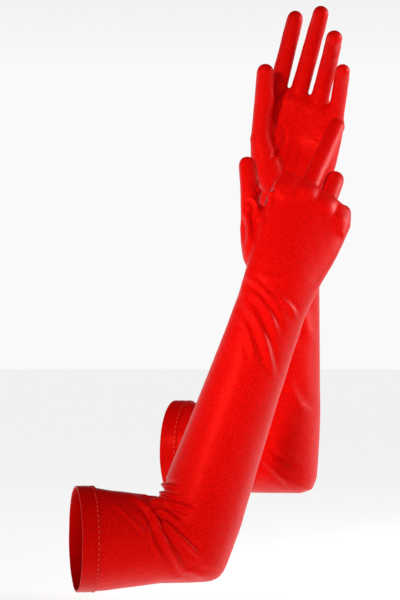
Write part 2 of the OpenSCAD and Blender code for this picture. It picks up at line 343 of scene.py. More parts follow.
@dataclass(frozen=True)
class Digit:
    """A finger or the thumb: where it starts, how it bends and how thick it is."""

    name: str
    base: np.ndarray
    straight: np.ndarray
    side: np.ndarray
    back: np.ndarray
    bones: tuple
    bends: list
    base_half: float
    tip_half: float
    lead: float
    cut: float
    flatness: float = 0.95
    # The power that says how early the digit narrows
    fullness: float = 0.8
    # Inside the hand the digit is a little thinner, and comes gradually to its first bend
    lead_girth: float = 0.97
    lead_bend: float = 0.3
    root_bend: float = 0.65
    root_reach: float = 2 * MM
    joint_swell: float = 0.35 * MM
    joint_reach: float = 5 * MM
    # A joint's turn takes up this much of each bone, or the bone's length over this if less
    joint_round: float = 8 * MM
    joint_over: float = 2.6
    dome_angles: tuple = (22, 42, 60, 75, 86)
    dome_end: float = 0.06 * MM

    def way(self, angle: float) -> np.ndarray:
        """Returns the direction along the digit where it is bent by an angle."""
        return cosd(angle) * self.straight - sind(angle) * self.back

    def upright(self, angle: float) -> np.ndarray:
        """Returns the direction out of the digit's back where it is bent by an angle."""
        return cosd(angle) * self.back + sind(angle) * self.straight

    def girth(self, along: float) -> float:
        """Gives the digit's taper, with a small swelling at each joint.

        Args:
            along: distance from the start of the first bone.

        Returns:
            Half the digit's width there.
        """
        t = max(0.0, min(1.0, along / sum(self.bones)))
        joints = (self.bones[0], self.bones[0] + self.bones[1])
        swell = sum(
            self.joint_swell * math.exp(-(((along - at) / self.joint_reach) ** 2)) for at in joints
        )
        return mix(self.base_half, self.tip_half, t**self.fullness) + swell

    def section(self, centre: np.ndarray, angle: float, along: float, scale: float = 1.0) -> Station:
        """Makes one cross-section.

        Args:
            centre: its centre.
            angle: how far the digit is bent there.
            along: distance from the start of the first bone.
            scale: share of the full girth.

        Returns:
            The cross-section.
        """
        half = self.girth(along) * scale
        return Station(centre, self.side, self.upright(angle), half, half * self.flatness)

    def turn(self, joint: np.ndarray, angles: tuple, near: float, done: float) -> list:
        """Rounds the digit's way through a joint.

        Args:
            joint: the joint's centre.
            angles: how far the digit is bent before and after it.
            near: how far from the joint the rounding starts and ends.
            done: the joint's distance from the start of the first bone.

        Returns:
            The cross-sections of the turn.
        """
        before, after = angles
        a, b = joint - near * self.way(before), joint + near * self.way(after)
        return [
            self.section(rounded(a, joint, b, t), mix(before, after, t), done + (2 * t - 1) * near)
            for t in TURN_SHARES
        ]

    def tip(self, at: np.ndarray, angle: float) -> list:
        """Closes the digit with a dome.

        Args:
            at: the very end of the digit.
            angle: how far the digit is bent there.

        Returns:
            The dome's cross-sections.
        """
        run = []
        for a in self.dome_angles:
            centre = at - (self.tip_half - self.tip_half * sind(a)) * self.way(angle)
            half = max(self.dome_end, self.tip_half * cosd(a))
            run.append(Station(centre, self.side, self.upright(angle), half, half * self.flatness))
        return run

    def tube(self) -> Tube:
        """Makes the digit's tube, which starts inside the hand and follows the bones.

        Returns:
            The tube, with its joints rounded and its tip domed.
        """
        at, angle, done = np.array(self.base, float), self.bends[0], 0.0
        lead = angle * self.lead_bend
        run = [
            self.section(at - self.lead * self.way(lead), lead, 0, self.lead_girth),
            self.section(at, angle * self.root_bend, 0),
        ]
        for k, bone in enumerate(self.bones):
            at_tip = k == len(self.bones) - 1
            near = min(self.joint_round, bone / self.joint_over)
            end = at + bone * self.way(angle)
            first = self.root_reach if k == 0 else near
            last = self.tip_half if at_tip else near
            for d in np.linspace(first, bone - last, 4 if at_tip else 5):
                run.append(self.section(at + d * self.way(angle), angle, done + d))
            done += bone
            if not at_tip:
                turned = angle + self.bends[k + 1]
                run += self.turn(end, (angle, turned), near, done)
                angle = turned
            at = end
        return Tube(self.name, tuple(run + self.tip(at, angle)), self.cut)


class Arm:
    """The tubes of one glove, worked out from its pose and sizes.

    The arm's frame has x along the upper sleeve and z up. The hand's directions are
    u towards the thumb, v along the hand and n out of its back.
    """

    UPPER_SECTIONS = 9
    ELBOW_SECTIONS = 17
    FOREARM_SECTIONS = 14
    PALM_SECTIONS = 7
    WEB_SECTIONS = 6

    def __init__(self, pose: ArmPose, sleeve: SleeveSizes, hand: HandSizes) -> None:
        """Finds the elbow, its crook, the wrist and the hand's directions.

        Args:
            pose: how the arm is held.
            sleeve: the sleeve's sizes.
            hand: the hand's sizes.
        """
        self.pose, self.sleeve, self.hand = pose, sleeve, hand
        self.elbow = np.array((sleeve.upper, 0, 0))
        self.along = np.array((sind(pose.lean), 0, cosd(pose.lean)))
        self.inward = np.array((-cosd(pose.lean), 0, sind(pose.lean)))
        self.back = np.array((0.0, -1.0, 0.0))
        self.wrist = self.elbow + sleeve.forearm * self.along
        self.crook_out = sleeve.crook_half * math.tan(math.radians(90 - pose.lean) / 2)
        self.crook = self.elbow + np.array((-self.crook_out, 0, sleeve.crook_half))
        lean, pitch, roll = pose.hand
        self.v = np.array((cosd(pitch) * sind(lean), sind(pitch), cosd(pitch) * cosd(lean)))
        side = unit(np.cross(self.v, self.back))
        self.u = -cosd(roll) * side + sind(roll) * np.cross(self.v, side)
        self.n = np.cross(self.v, self.u)

    def in_hand(self, point: tuple) -> np.ndarray:
        """Returns a point (towards thumb, along hand, towards back) in the arm's frame."""
        return self.wrist + point[0] * self.u + point[1] * self.v + point[2] * self.n

    def swung(self, angle: float) -> tuple:
        """Returns the directions along and across a digit swung towards the thumb by an angle."""
        along = cosd(angle) * self.v + sind(angle) * self.u
        return along, cosd(angle) * self.u - sind(angle) * self.v

    def upper_station(self, x: float) -> Station:
        """Makes a section of the upper sleeve.

        Args:
            x: distance from the arm opening.

        Returns:
            The sleeve's section there.
        """
        s = self.sleeve
        hem = s.hem_outer - s.under_hem
        t = max(0.0, (x - s.hem_depth) / (s.upper - self.crook_out - s.hem_depth))
        top, low = mix(hem, s.crook_half, t**s.upper_fullness), mix(hem, s.elbow_half, t)
        centre = np.array((x, 0, (top - low) / 2))
        up = np.array((0.0, 0.0, 1.0))
        return Station(centre, up, self.back, (top + low) / 2, mix(hem, s.elbow_thick, t))

    def elbow_station(self, t: float) -> Station:
        """Makes a section of the elbow. They all fan out from its crook.

        Args:
            t: share of the way round the elbow.

        Returns:
            The sleeve's section there.
        """
        s, turn = self.sleeve, 90 - self.pose.lean
        angle = mix(-90, -self.pose.lean, t)
        ray = np.array((cosd(angle), 0, sind(angle)))
        one, other = cosd(turn * t), cosd(turn * (1 - t))
        soft = (one**s.elbow_corner + other**s.elbow_corner) ** (1 / s.elbow_corner)
        half = (s.crook_half + s.elbow_half) / soft / 2
        thick = mix(s.elbow_thick, s.elbow_half, t)
        return Station(self.crook + half * ray, -ray, self.back, half, thick)

    def forearm_station(self, along: float) -> Station:
        """Makes a section of the forearm.

        Args:
            along: distance from the elbow's centre.

        Returns:
            The sleeve's section there.
        """
        s = self.sleeve
        t = (along - self.crook_out) / (s.forearm - self.crook_out)
        low = s.wrist_half + (s.elbow_half - s.wrist_half) * (1 - t) ** s.forearm_fullness
        top = s.wrist_half + (s.crook_half - s.wrist_half) * (1 - t) ** s.forearm_fullness
        thick = s.wrist_thick + (s.elbow_half - s.wrist_thick) * (1 - t) ** s.forearm_depth_fullness
        centre = self.elbow + along * self.along + (top - low) / 2 * self.inward
        return Station(centre, self.inward, self.back, (top + low) / 2, thick)

    def hand_station(self, along: float) -> Station:
        """Makes a section of the palm.

        Args:
            along: distance from the wrist's centre.

        Returns:
            The palm's section there.
        """
        s, h = self.sleeve, self.hand
        t = min(1.0, along / h.palm)
        half = mix(s.wrist_half, h.palm_half, sind(90 * min(1, t * h.palm_widening)))
        thick = mix(s.wrist_thick - MM, h.palm_thick, sind(90 * t))
        return Station(self.in_hand((MM * t, along, 0)), self.u, self.n, half, thick)

    def wrist_stations(self, a: Station, b: Station) -> list:
        """Turns the sleeve into the hand.

        Args:
            a: the forearm's last section.
            b: the hand's first section.

        Returns:
            The sections between them.
        """
        return [
            Station(
                rounded(a.centre, self.wrist, b.centre, t),
                unit(mix(a.across, b.across, t)),
                unit(mix(a.through, b.through, t)),
                mix(a.half_width, b.half_width, t),
                mix(a.half_depth, b.half_depth, t),
            )
            for t in TURN_SHARES
        ]

    def arm_tube(self) -> Tube:
        """Makes the tube from before the arm opening to the knuckles.

        Returns:
            The tube.
        """
        s, h = self.sleeve, self.hand
        upper = np.linspace(-s.lead_in, s.upper - self.crook_out, self.UPPER_SECTIONS)
        fore = np.linspace(self.crook_out, s.forearm - s.wrist_before, self.FOREARM_SECTIONS)
        palm = np.linspace(s.wrist_after, h.palm - h.palm_end, self.PALM_SECTIONS)
        run = [self.upper_station(x) for x in upper]
        run += [self.elbow_station(t) for t in np.linspace(0, 1, self.ELBOW_SECTIONS)[1:]]
        run += [self.forearm_station(a) for a in fore[1:]]
        run += self.wrist_stations(run[-1], self.hand_station(s.wrist_after))
        run += [self.hand_station(d) for d in palm]
        base = self.hand_station(h.palm)
        tilt = unit(self.u + h.knuckle_slope * self.v)
        for past, width, depth in h.knuckle_sections:
            centre = self.in_hand((MM, h.palm + past * MM, 0))
            run.append(Station(centre, tilt, self.n, base.half_width * width, base.half_depth * depth))
        return Tube("arm", tuple(run))

    def finger(self, index: int) -> Tube:
        """Makes a finger.

        Args:
            index: the finger's place in FINGERS.

        Returns:
            Its tube.
        """
        h, name = self.hand, FINGERS[index]
        splay, *bends = self.pose.fingers[index]
        straight, side = self.swung(splay)
        scale = h.little_scale if name == "little" else 1.0
        return Digit(
            name, self.in_hand(h.knuckle(index)), straight, side, self.n, h.bones[index], bends,
            h.stall_base * scale, h.stall_tip * scale, h.stall_lead, h.stall_cut,
        ).tube()

    def thumb_joint(self) -> np.ndarray:
        """Returns where the thumb leaves its ball."""
        toward, _ = self.swung(self.pose.thumb[0])
        return self.in_hand(self.hand.thumb_root_at) + self.hand.thumb_root * toward

    def thumb(self) -> Tube:
        """Makes the thumb past its ball.

        Returns:
            Its tube.
        """
        h = self.hand
        _, swing, *bends = self.pose.thumb
        straight, side = self.swung(swing)
        return Digit(
            "thumb", self.thumb_joint(), straight, side, self.n, h.thumb_bones, bends,
            h.thumb_base, h.thumb_tip, h.thumb_lead, h.thumb_cut,
        ).tube()

    def thumb_ball(self) -> Tube:
        """Makes the ball of the thumb, which stands out of the palm.

        Returns:
            Its tube.
        """
        h, run = self.hand, []
        toward, across = self.swung(self.pose.thumb[0])
        for t, half in h.ball_sections:
            centre = self.in_hand(h.thumb_root_at) + t * h.thumb_root * toward
            lift = (1 - max(0.0, min(1.0, t))) * h.ball_lift_mm * MM
            depth = half * MM * h.ball_flatness
            run.append(Station(centre + lift * self.n, across, self.n, half * MM, depth))
        return Tube("thumb_root", tuple(run))

    def web(self) -> Tube:
        """Makes the web of cloth from the palm's edge to the thumb.

        Returns:
            Its tube.
        """
        h, run = self.hand, []
        start = self.in_hand(h.web_start)
        end = self.thumb_joint() + h.web_reach * self.swung(self.pose.thumb[1])[0]
        way = unit(end - start)
        across = unit(self.v - (self.v @ way) * way)
        for t in np.linspace(0, 1, self.WEB_SECTIONS):
            half, thick = mix(*h.web_half_mm, t) * MM, mix(*h.web_depth_mm, t) * MM
            run.append(Station(mix(start, end, t), across, np.cross(way, across), half, thick))
        return Tube("web", tuple(run))

    def tubes(self) -> list:
        """Returns the arm's tube, the four fingers', the thumb's, its ball's and the web's."""
        fingers = [self.finger(i) for i in range(len(FINGERS))]
        return [self.arm_tube(), *fingers, self.thumb(), self.thumb_ball(), self.web()]


# ---------------------------------------------------------------- modelling helpers


def deselect() -> None:
    """Leaves nothing selected."""
    for obj in bpy.context.selected_objects:
        obj.select_set(False)


def only(obj: bpy.types.Object) -> None:
    """Makes an object the only selected one and the active one.

    Args:
        obj: the object.
    """
    deselect()
    obj.select_set(True)
    bpy.context.view_layer.objects.active = obj


def edit_all(obj: bpy.types.Object) -> None:
    """Opens an object in edit mode with all of its mesh selected.

    Args:
        obj: the object.
    """
    only(obj)
    bpy.ops.object.mode_set(mode="EDIT")
    bpy.ops.mesh.select_all(action="SELECT")


def apply_modifier(obj: bpy.types.Object, kind: str, **settings: object) -> None:
    """Adds a modifier and applies it.

    Args:
        obj: the object that gets it.
        kind: the modifier's type.
        settings: the modifier's settings.
    """
    only(obj)
    modifier = obj.modifiers.new(kind.title(), kind)
    for key, value in settings.items():
        setattr(modifier, key, value)
    bpy.ops.object.modifier_apply(modifier=modifier.name)


def vectors(items: bpy.types.bpy_prop_collection, key: str) -> np.ndarray:
    """Reads one vector of every item of a mesh.

    Args:
        items: the mesh's vertices, normals or polygons.
        key: the name of the vector.

    Returns:
        One row for each item.
    """
    out = np.empty(len(items) * 3, np.float32)
    items.foreach_get(key, out)
    return out.reshape(-1, 3).astype(float)


def coordinates(mesh: bpy.types.Mesh) -> np.ndarray:
    """Returns a mesh's vertex coordinates."""
    return vectors(mesh.vertices, "co")


def vertex_normals(mesh: bpy.types.Mesh) -> np.ndarray:
    """Returns a mesh's vertex normals."""
    return vectors(mesh.vertex_normals, "vector")


def set_coordinates(mesh: bpy.types.Mesh, points: np.ndarray) -> None:
    """Gives a mesh's vertices new coordinates."""
    mesh.vertices.foreach_set("co", np.asarray(points, np.float32).ravel())
    mesh.update()


def wrapped_grid(name: str, rows: list, close_ends: bool) -> bpy.types.Object:
    """Bends a grid into a tube and welds its first and last columns.

    Args:
        name: the new object's name.
        rows: the points, as rows of rings.
        close_ends: whether the ends are filled, or else joined to each other as a ring.

    Returns:
        The tube.
    """
    rows = np.asarray(rows)
    if not close_ends:
        rows = np.concatenate((rows, rows[:1]), 0)
    rows = np.concatenate((rows, rows[:, :1]), 1)
    deselect()
    bpy.ops.mesh.primitive_grid_add(
        x_subdivisions=rows.shape[1] - 1, y_subdivisions=rows.shape[0] - 1, size=0.1
    )
    obj = bpy.context.object
    obj.name = name
    set_coordinates(obj.data, rows.reshape(-1, 3))
    edit_all(obj)
    bpy.ops.mesh.remove_doubles(threshold=0.001 * MM)
    if close_ends:
        bpy.ops.mesh.fill_holes(sides=0)
    bpy.ops.mesh.select_all(action="SELECT")
    bpy.ops.mesh.normals_make_consistent(inside=False)
    bpy.ops.object.mode_set(mode="OBJECT")
    return obj


def tube_object(tube: Tube, sides: int) -> bpy.types.Object:
    """Makes a tube's closed mesh.

    Args:
        tube: the tube.
        sides: how many sides it has.

    Returns:
        The object.
    """
    angles = np.linspace(0, 2 * math.pi, sides, endpoint=False)
    rows = [[station.point(a) for a in angles] for station in tube.stations]
    return wrapped_grid(tube.name, rows, True)


def joined(objects: list, name: str) -> bpy.types.Object:
    """Joins objects into the first of them.

    Args:
        objects: the objects.
        name: the name that the result gets.

    Returns:
        The joined object.
    """
    deselect()
    for obj in objects:
        obj.select_set(True)
    bpy.context.view_layer.objects.active = objects[0]
    bpy.ops.object.join()
    obj = bpy.context.object
    obj.name = name
    return obj


# ---------------------------------------------------------------- cloth


def line_distance(points: np.ndarray, line: np.ndarray) -> tuple:
    """Measures points against a line with corners.

    Args:
        points: flat points.
        line: the line's corners.

    Returns:
        Each point's distance from the line, and its share of the way along it.
    """
    best, share = np.full(len(points), 1e9), np.zeros(len(points))
    lengths = np.linalg.norm(np.diff(line, axis=0), axis=1)
    done, total = 0.0, lengths.sum()
    for a, b, length in zip(line[:-1], line[1:], lengths):
        d = (b - a) / length
        rel = points - a
        t = np.clip(rel @ d, 0, length)
        distance = np.linalg.norm(rel - t[:, None] * d, axis=1)
        nearer = distance < best
        best = np.where(nearer, distance, best)
        share = np.where(nearer, (done + t) / total, share)
        done += length
    return best, share


def rounded_line(line: np.ndarray, times: int = 2) -> np.ndarray:
    """Rounds a line by cutting its corners.

    Args:
        line: the line's corners.
        times: how many times they are cut.

    Returns:
        The corners of the rounded line.
    """
    for _ in range(times):
        cut = [line[0]]
        for a, b in zip(line[:-1], line[1:]):
            cut += [mix(a, b, 0.25), mix(a, b, 0.75)]
        line = [*cut, line[-1]]
    return np.array(line)


def ripple(points: np.ndarray, size: float, seed: int) -> np.ndarray:
    """Makes soft, uneven ripples out of bent waves.

    Args:
        points: where they are wanted.
        size: their length in metres.
        seed: the seed of the waves' directions.

    Returns:
        A smooth value from about -1 to 1 at each point.
    """
    rng = np.random.default_rng(seed)
    value = np.zeros(len(points))
    for _ in range(7):
        # each wave has its own direction and length, and is bent by a longer one
        way = unit(rng.normal(size=3)) * (2 * math.pi / size) * rng.uniform(0.6, 1.5)
        bend = unit(rng.normal(size=3)) * (2 * math.pi / size) * 0.4
        value += np.sin(points @ way + 1.3 * np.sin(points @ bend) + rng.uniform(0, 6.3))
    return value / 3.2


class Skin:
    """One glove's cloth, from its tubes to the pieces that it is cut into."""

    ARM_SIDES = 72
    DIGIT_SIDES = 28
    # A fold's hollow runs this many widths beside it
    HOLLOW_AT = 1.9
    # A fold keeps this share of its height at its ends, and fades over a quarter of its length
    FOLD_END = 0.25
    FOLD_FADE = 4
    # A face begins a little past the glove's edge, and is full after this much more lean
    FACE_EDGE = -0.15
    FACE_SPAN = 0.5
    # The side seams run where a point is at least this share of the way across its tube
    SEAM_SIDE = 0.75
    # Only points this near a tube's middle line are measured against it
    TUBE_REACH = 60 * MM

    def __init__(self, arm: Arm, cloth: ClothSizes) -> None:
        """Works out the tubes that the skin covers.

        Args:
            arm: the arm inside the glove.
            cloth: the cloth's sizes.
        """
        self.arm, self.cloth = arm, cloth
        self.tubes = arm.tubes()
        self.obj = None

    def make(self) -> None:
        """Makes the glove's whole skin, with its folds pressed in, still in the arm's frame."""
        parts = [
            tube_object(t, self.ARM_SIDES if t.name == "arm" else self.DIGIT_SIDES) for t in self.tubes
        ]
        self.obj = joined(parts, self.arm.pose.node("skin"))
        apply_modifier(self.obj, "REMESH", mode="VOXEL", voxel_size=self.cloth.voxel)
        apply_modifier(self.obj, "SMOOTH", factor=0.5, iterations=self.cloth.smooth_steps)
        self.press_folds()
        self.trim()

    def facing(self, normals: np.ndarray, back: np.ndarray, face: Face) -> np.ndarray:
        """Says which points a fold reaches.

        Args:
            normals: the points' normals.
            back: the direction out of the back.
            face: the fold's face.

        Returns:
            How far each point is on that face, from 0 to 1.
        """
        if face is Face.BOTH:
            return np.ones(len(normals))
        toward = normals @ back * (1 if face is Face.BACK else -1)
        return eased(np.clip((toward - self.FACE_EDGE) / self.FACE_SPAN, 0, 1))

    def fold_lift(self, fold: Fold, flat: np.ndarray) -> np.ndarray:
        """Works out one fold.

        Args:
            fold: the fold.
            flat: the skin's points in the fold's plane.

        Returns:
            How far each point is lifted, on either face.
        """
        distance, share = line_distance(flat, rounded_line(np.array(fold.points) * MM))
        width = fold.width * MM
        q = distance / width
        beside = (distance - self.HOLLOW_AT * width) / width
        profile = np.exp(-q * q) - fold.hollow * np.exp(-(beside**2))
        end = eased(np.clip(np.minimum(share, 1 - share) * self.FOLD_FADE, 0, 1))
        end = self.FOLD_END + (1 - self.FOLD_END) * end
        reach = np.where(share * (1 - share) == 0, np.exp(-q * q * 2), 1)
        return fold.height * MM * profile * end * reach

    def press_folds(self) -> None:
        """Moves the skin along its normals by the folds, swells, ripples, creases and seams."""
        arm, mesh, c = self.arm, self.obj.data, self.cloth
        points, normals = coordinates(mesh), vertex_normals(mesh)
        rel = points - arm.wrist
        flat = {
            Plane.ARM: points[:, (0, 2)],
            Plane.HAND: np.stack((rel @ arm.u, rel @ arm.v), -1),
        }
        backs = {Plane.ARM: arm.back, Plane.HAND: arm.n}
        out = np.zeros(len(points))
        for fold in arm.pose.folds:
            lift = self.fold_lift(fold, flat[fold.plane])
            out += lift * self.facing(normals, backs[fold.plane], fold.face)
        for swell in arm.pose.swells:
            offset = (flat[Plane.HAND] - np.array(swell.at) * MM) / (np.array(swell.size) * MM)
            lift = swell.height * MM * np.exp(-(offset**2).sum(1))
            out += lift * self.facing(normals, arm.n, swell.face)
        out += c.slack_depth * ripple(points * c.slack_stretch, c.slack_size, 3)
        out += c.fine_depth * ripple(points, c.fine_size, 5)
        tube, along, across, through = self.nearest(points)
        out -= self.joint_creases(tube, along, through)
        out -= c.seam_depth * np.exp(-((through / c.seam_width) ** 2)) * (across > self.SEAM_SIDE)
        set_coordinates(mesh, points + normals * out[:, None])

    def joint_creases(self, tube: np.ndarray, along: np.ndarray, through: np.ndarray) -> np.ndarray:
        """Creases the cloth across the joints of the fingers and the thumb.

        Args:
            tube: each point's tube.
            along: each point's distance along it.
            through: each point's place from the palm side to the back.

        Returns:
            How deep the cloth is creased at each point, most of all on the inside.
        """
        h, c = self.arm.hand, self.cloth
        depth = np.zeros(len(along))
        inside = np.clip(0.5 - through / c.crease_blend, 0, 1)
        for index, item in enumerate(self.tubes[1:6], 1):
            bones = h.thumb_bones if item.name == "thumb" else h.bones[index - 1]
            for at, deep in zip((bones[0], bones[0] + bones[1]), c.crease_depths):
                for shift, share in c.crease_rows:
                    q = (along - at - shift * MM) / c.crease_width
                    crease = (tube == index) * share * deep * MM * np.exp(-q * q)
                    depth += crease * (c.crease_outside + (1 - c.crease_outside) * inside)
        return depth

    def nearest(self, points: np.ndarray) -> tuple:
        """Finds the tube that each point of the skin belongs to.

        Args:
            points: points on the skin.

        Returns:
            Each point's tube, distance along it from its start joint, place across it as a
            share, and distance from the plane of its side seams.
        """
        best = np.full(len(points), 1e9)
        tube_of = np.zeros(len(points), int)
        along, across, through = (np.zeros(len(points)) for _ in range(3))
        for index, tube in enumerate(self.tubes):
            centres = np.array([s.centre for s in tube.stations])
            lengths = np.linalg.norm(np.diff(centres, axis=0), axis=1)
            steps = np.concatenate(((0,), np.cumsum(lengths)))
            steps -= steps[1]
            low, high = centres.min(0) - self.TUBE_REACH, centres.max(0) + self.TUBE_REACH
            near = np.flatnonzero(((points > low) & (points < high)).all(1))
            for k, station in enumerate(tube.stations):
                axis = np.cross(station.across, station.through)
                rel = points[near] - station.centre
                a, b, c = rel @ station.across, rel @ station.through, rel @ axis
                ratio = np.sqrt((a / station.half_width) ** 2 + (b / station.half_depth) ** 2)
                gap = (ratio - 1) * station.half_depth
                score = c * c + gap * gap
                hit = score < best[near]
                rows = near[hit]
                best[rows] = score[hit]
                tube_of[rows] = index
                along[rows] = steps[k] + c[hit]
                across[rows] = np.abs(a[hit]) / station.half_width
                through[rows] = b[hit]
        return tube_of, along, across, through

    def trim(self) -> None:
        """Cuts the skin off where it passes under the hem."""
        edit_all(self.obj)
        bpy.ops.mesh.bisect(
            plane_co=(self.arm.sleeve.trimmed_at, 0, 0), plane_no=(1, 0, 0), clear_inner=True
        )
        bpy.ops.object.mode_set(mode="OBJECT")

    def to_row(self) -> None:
        """Places the skin in the row's frame. The left one is mirrored, so its faces are turned."""
        pose, mesh = self.arm.pose, self.obj.data
        set_coordinates(mesh, pose.to_row(coordinates(mesh)))
        if pose.side is Side.LEFT:
            edit_all(self.obj)
            bpy.ops.mesh.flip_normals()
            bpy.ops.object.mode_set(mode="OBJECT")

    def regions(self) -> np.ndarray:
        """Shares the skin's faces out.

        Returns:
            For each face, the name of the piece that it belongs to.
        """
        centres = vectors(self.obj.data.polygons, "center")
        tube, along, _, _ = self.nearest(centres)
        up = (centres - self.arm.elbow) @ self.arm.along
        names = np.where((tube == 0) & (up < self.arm.sleeve.forearm_cut), "sleeve", "hand")
        names = names.astype("U16")
        for index, item in enumerate(self.tubes):
            names[(tube == index) & (along > item.cut)] = item.name
        return names

    def split(self, kind: int) -> bpy.types.Object:
        """Separates the faces of one kind from the skin.

        Args:
            kind: the faces' value of the attribute piece_index.

        Returns:
            The new object that they make.
        """
        mesh = self.obj.data
        values = np.empty(len(mesh.polygons), np.int32)
        mesh.attributes["piece_index"].data.foreach_get("value", values)
        only(self.obj)
        bpy.ops.object.mode_set(mode="EDIT")
        bpy.ops.mesh.select_mode(type="FACE")
        bpy.ops.mesh.select_all(action="DESELECT")
        bpy.ops.object.mode_set(mode="OBJECT")
        mesh.polygons.foreach_set("select", values == kind)
        bpy.ops.object.mode_set(mode="EDIT")
        bpy.ops.mesh.separate(type="SELECTED")
        bpy.ops.object.mode_set(mode="OBJECT")
        return next(o for o in bpy.context.selected_objects if o != self.obj)

    def pieces(self) -> dict:
        """Cuts the skin up.

        Returns:
            Its pieces by name, in the row's frame, each with its cloth's thickness.
        """
        names = self.regions()
        self.to_row()
        mesh = self.obj.data
        normal = mesh.attributes.new("skin_normal", "FLOAT_VECTOR", "POINT")
        normal.data.foreach_set("vector", vertex_normals(mesh).astype(np.float32).ravel())
        index = mesh.attributes.new("piece_index", "INT", "FACE")
        kinds = sorted(set(names.tolist()))
        index.data.foreach_set("value", np.array([kinds.index(n) for n in names], np.int32))
        found = {kind: self.split(value) for value, kind in enumerate(kinds) if value > 0}
        found[kinds[0]] = self.obj
        for kind, piece in found.items():
            piece.name = self.arm.pose.node(f"glove_{kind}")
            self.thicken(piece)
        return found

    def thicken(self, piece: bpy.types.Object) -> None:
        """Gives a cut piece the cloth's thickness, and outside the uncut skin's shading.

        Args:
            piece: the piece.
        """
        mesh = piece.data
        stored = vectors(mesh.attributes["skin_normal"].data, "vector")
        for name in ("skin_normal", "piece_index"):
            mesh.attributes.remove(mesh.attributes[name])
        apply_modifier(piece, "SOLIDIFY", thickness=self.cloth.thickness, offset=-1)
        only(piece)
        bpy.ops.object.shade_smooth()
        normals = vertex_normals(piece.data)
        normals[: len(stored)] = stored
        piece.data.normals_split_custom_set_from_vertices([tuple(n) for n in normals])


@dataclass
class Hem:
    """The turned hem at the arm opening and the row of stitches that holds it."""

    arm: Arm
    sides: int = 144
    stitch_count: int = 60
    stitch_at: float = 14 * MM
    stitch_length: float = 3 * MM
    thread_radius: float = 0.35 * MM
    # How far a stitch's middle line lies outside the hem
    stitch_rise: float = 0.05 * MM

    def profile(self) -> list:
        """Draws the hem's section, from its rolled edge outside to its fold inside.

        Returns:
            Its points as (distance from the arm opening, radius).
        """
        s = self.arm.sleeve
        out, inn, depth = s.hem_outer, s.hem_inner, s.hem_depth
        roll, mid = (out - inn) / 2, (out + inn) / 2
        points = [(roll * (1 - cosd(a)), mid + roll * sind(a)) for a in range(-90, 91, 22)]
        # the outer face puckers a little and dips under the stitches
        points += [(x * MM, out + 0.12 * MM * math.sin(x * 1.1)) for x in range(3, 13, 2)]
        points += [(13.2 * MM, out - 0.12 * MM), (14 * MM, out - 0.2 * MM), (15 * MM, out + 0.05 * MM)]
        points += [(depth - 0.3 * MM, out), (depth, out - 0.25 * MM), (depth, out - 0.9 * MM)]
        return points + [(depth - 4 * MM, inn + 0.3 * MM), (6 * MM, inn)]

    def band(self) -> bpy.types.Object:
        """Makes the doubled cloth round the arm opening.

        Returns:
            The hem's band, in the row's frame.
        """
        rows = []
        for a in np.linspace(0, 360, self.sides, endpoint=False):
            # a sewn edge is never quite round
            wave = 0.1 * MM * sind(5 * a + 20) + 0.06 * MM * sind(11 * a)
            rows.append(
                [(x + wave, (r + wave) * cosd(a), (r + wave) * sind(a)) for x, r in self.profile()]
            )
        return self.place(wrapped_grid(self.arm.pose.node("hem_band"), rows, False))

    def stitches(self) -> bpy.types.Object:
        """Makes the row of stitches, each a short, rounded piece of thread.

        Returns:
            The stitches, in the row's frame.
        """
        made = []
        radius = self.arm.sleeve.hem_outer + self.stitch_rise
        for i in range(self.stitch_count):
            a = 360 * i / self.stitch_count
            deselect()
            bpy.ops.mesh.primitive_uv_sphere_add(
                segments=8,
                ring_count=6,
                radius=1,
                location=(self.stitch_at, radius * cosd(a), radius * sind(a)),
                rotation=(math.radians(a), 0, 0),
                scale=(self.thread_radius, self.thread_radius, self.stitch_length / 2),
            )
            made.append(bpy.context.object)
        return self.place(joined(made, self.arm.pose.node("hem_thread")))

    def place(self, obj: bpy.types.Object) -> bpy.types.Object:
        """Takes a piece from the arm's frame to the row's.

        Args:
            obj: the piece.

        Returns:
            The same piece, with its faces outwards and smoothly shaded.
        """
        only(obj)
        bpy.ops.object.transform_apply(location=True, rotation=True, scale=True)
        set_coordinates(obj.data, self.arm.pose.to_row(coordinates(obj.data)))
        edit_all(obj)
        bpy.ops.mesh.normals_make_consistent(inside=False)
        bpy.ops.object.mode_set(mode="OBJECT")
        bpy.ops.object.shade_smooth()
        return obj


# ---------------------------------------------------------------- finishes


def srgb(text: str) -> tuple:
    """Turns a colour linear.

    Args:
        text: the colour, such as "#E8120F".

    Returns:
        Its linear red, green, blue and alpha.
    """
    parts = [int(text[i : i + 2], 16) / 255 for i in (1, 3, 5)]
    linear = [p / 12.92 if p <= 0.04045 else ((p + 0.055) / 1.055) ** 2.4 for p in parts]
    return (*linear, 1.0)


def node(tree: bpy.types.NodeTree, kind: str, links: list | tuple = (), **values: object) -> bpy.types.Node:
    """Adds a node.

    Args:
        tree: the node tree.
        kind: the node's type.
        links: pairs of an output and the name of the new node's input that it feeds.
        values: what its inputs hold and, with set_ before the name, its settings.

    Returns:
        The new node.
    """
    made = tree.nodes.new(kind)
    for key, value in values.items():
        if key.startswith("set_"):
            setattr(made, key[4:], value)
        else:
            made.inputs[key.replace("_", " ")].default_value = value
    for output, name in links:
        tree.links.new(output, made.inputs[name])
    return made


